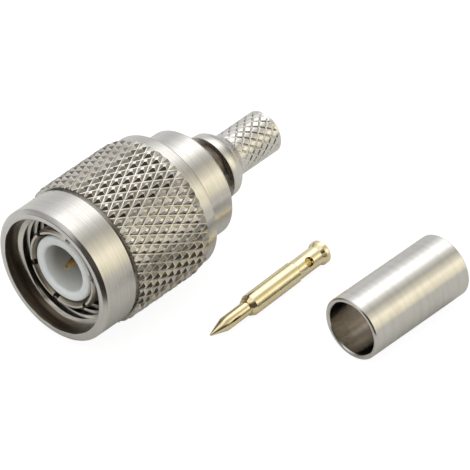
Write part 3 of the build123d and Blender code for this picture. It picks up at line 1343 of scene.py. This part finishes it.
@dataclass
class Studio:
    """The table, the light tent around it and the camera."""

    table_size: float = 4000.0
    table_gap: float = 0.004
    table_glow: float = 1.12
    glow_share: float = 0.8
    table_white: Colour = (0.97, 0.97, 0.97)
    # The near side, far side and far end colours paint shade and light on the table as it is seen
    # in reflections.
    shaded_near_side: Colour = (0.64, 0.63, 0.60)
    lit_far_side: Colour = (0.72, 0.72, 0.71)
    shaded_far_end: Colour = (0.03, 0.028, 0.025)
    dome_level: float = 1.08
    lamp_colour: Colour = (1.08, 1.03, 0.95)
    panels: tuple[tuple[float, Colour], ...] = (
        (-100, (0.72, 0.72, 0.72)),
        (-66, (0.70, 0.70, 0.70)),
        (-46, (1.00, 1.00, 1.00)),
        (-30, (1.70, 1.70, 1.69)),
        (-8, (1.70, 1.69, 1.67)),
        (10, (0.80, 0.79, 0.75)),
        (24, (0.55, 0.53, 0.48)),
        (42, (0.90, 0.85, 0.70)),
        (58, (1.45, 1.36, 1.10)),
        (76, (1.20, 1.12, 0.88)),
        (100, (0.70, 0.66, 0.56)),
    )
    camera_at: Place = (-329.324, -318.853, 381.255)
    camera_aim: Place = (15.579, -2.279, -7.25)
    lens: float = 503.04
    sensor: float = 36.0
    clip: Point = (0.01, 10.0)

    def table(self) -> None:
        """Lay the white table, which the camera sees as plain white with a faint shadow, and which
        shows painted shade in reflections.
        """
        bm = bmesh.new()
        bmesh.ops.create_grid(
            bm,
            x_segments=1,
            y_segments=1,
            size=self.table_size / 2 * MM,
            matrix=Matrix.Translation((0.0, 0.0, (TABLE_Z - self.table_gap) * MM)),
        )
        table = as_object(bm, "table")
        made = bpy.data.materials.new("table_white")
        shader = Shader(made)
        glow = shader.node("Emission", None, {"Color": WHITE, "Strength": self.table_glow})
        seen = shader.mix(self.glow_share, shader.matt(self.table_white), glow.outputs[0])
        x, y, _ = shader.split(shader.node("TexCoord").outputs["Object"])
        # Painted shade for the other rays: darker on the near side, lighter on the far side, and
        # nearly black in front of the mouth.
        lit_far_side = (1.5 * y - x).rise(5 * MM, 18 * MM)
        shaded_far_end = (0.0 - 1.3 * x - 0.7 * y).rise(26 * MM, 36 * MM)
        sides = shader.mix(lit_far_side, shader.matt(self.shaded_near_side), shader.matt(self.lit_far_side))
        plain = shader.mix(shaded_far_end, sides, shader.matt(self.shaded_far_end))
        path = shader.node("LightPath").outputs
        surface = shader.mix(path["Is Camera Ray"], plain, seen)
        shader.node("OutputMaterial", None, {"Surface": surface})
        table.data.materials.append(made)

    def tent(self) -> None:
        """Light the scene with soft panels that run along the plug."""
        world = bpy.data.worlds.new("tent")
        bpy.context.scene.world = world
        shader = Shader(world)
        x, y, z = shader.split(shader.node("TexCoord").outputs["Generated"])
        tilt = (0.0 - y).turn_from(z) / (2 * math.pi) + 0.5
        colour = shader.ramp(tilt, [(0.5 + angle / 360, shade) for angle, shade in self.panels])
        near = (0.0 - 0.6 * x - 0.8 * y).rise(0.36, 0.58) * z.rise(0.86, 0.66)
        side = x.rise(0.64, 0.85)
        front = x.rise(0.45, 0.20) * z.rise(0.05, 0.20)
        lamp = x.rise(0.34, 0.14) * y.rise(-0.46, -0.34) * y.rise(0.02, -0.10) * z.rise(0.80, 0.90)
        low = z.rise(0.20, 0.0)
        for share, shade in (
            (front * 0.42, SOOT),
            (side * (0.72 - 0.5 * low), SOOT),
            (lamp, self.lamp_colour),
            (near * 0.95, SOOT),
        ):
            colour = shader.blend(share, colour, shade)
        tent = shader.node("Background", None, {"Color": colour, "Strength": 1.0})
        white = shader.node("Background", None, {"Color": WHITE, "Strength": self.dome_level})
        path = shader.node("LightPath").outputs
        dome = shader.mix(path["Is Diffuse Ray"], tent.outputs[0], white.outputs[0])
        surface = shader.mix(path["Is Camera Ray"], dome, white.outputs[0])
        shader.node("OutputWorld", None, {"Surface": surface})

    def camera(self) -> None:
        """Place the camera where the photograph was taken."""
        data = bpy.data.cameras.new("camera")
        data.lens = self.lens
        data.sensor_width = self.sensor
        data.clip_start, data.clip_end = self.clip
        camera = bpy.data.objects.new("camera", data)
        at = Vector(self.camera_at) * MM
        aim = Vector(self.camera_aim) * MM
        camera.rotation_mode = "QUATERNION"
        camera.location = at
        camera.rotation_quaternion = (aim - at).to_track_quat("-Z", "Y")
        bpy.context.scene.collection.objects.link(camera)
        bpy.context.scene.camera = camera


def loose_seat() -> Seat:
    """Find how the loose contact lies on the table, on its shoulder and its flange.

    Returns:
        The seat of its axis, with the window turned towards the viewer.
    """
    tip_x, tip_y = 2.75, -11.04
    barrel_r, flange_r = 1.04, 1.17
    shoulder, to_flange = 5.45, 9.50
    yaw, window = math.radians(1.3), math.radians(46.0)
    lean = math.atan2(flange_r - barrel_r, to_flange)
    height = barrel_r * math.cos(lean) - shoulder * math.sin(lean)
    level = Vector((-math.sin(yaw), math.cos(yaw), 0.0))
    along = Vector((level.y, -level.x, 0.0)) * math.cos(lean) + Vector((0.0, 0.0, math.sin(lean)))
    out = along.cross(level) * math.sin(window) - level * math.cos(window)
    turned = Matrix((along, out.cross(along), out)).transposed().to_4x4()
    return Seat(Matrix.Translation((tip_x, tip_y, TABLE_Z + height)) @ turned)


def main() -> None:
    """Build every piece, the table, the light and the camera."""
    logging.basicConfig(level=logging.INFO, format="%(name)s: %(message)s")
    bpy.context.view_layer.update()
    bpy.context.scene.view_settings.view_transform = "Standard"
    studio = Studio()
    studio.camera()
    studio.table()
    studio.tent()
    CouplingNut().build()
    PlugBody().build()
    SpringFingers().build()
    Insulator().build()
    seated = Seat(Matrix.Translation((SEATED_TIP_X, 0.0, 0.0)))
    # The seated contact gets the darker gold: painted shade inside the insulator's pocket.
    ContactPin("centre_contact", seated, PAINTED_SHADE_GOLD).build()
    CrimpStem().build()
    CrimpFerrule().build()
    ContactPin("contact_pin", loose_seat(), GOLD).build()
    KeptSolids().dress()


if __name__ == "__main__":
    main()
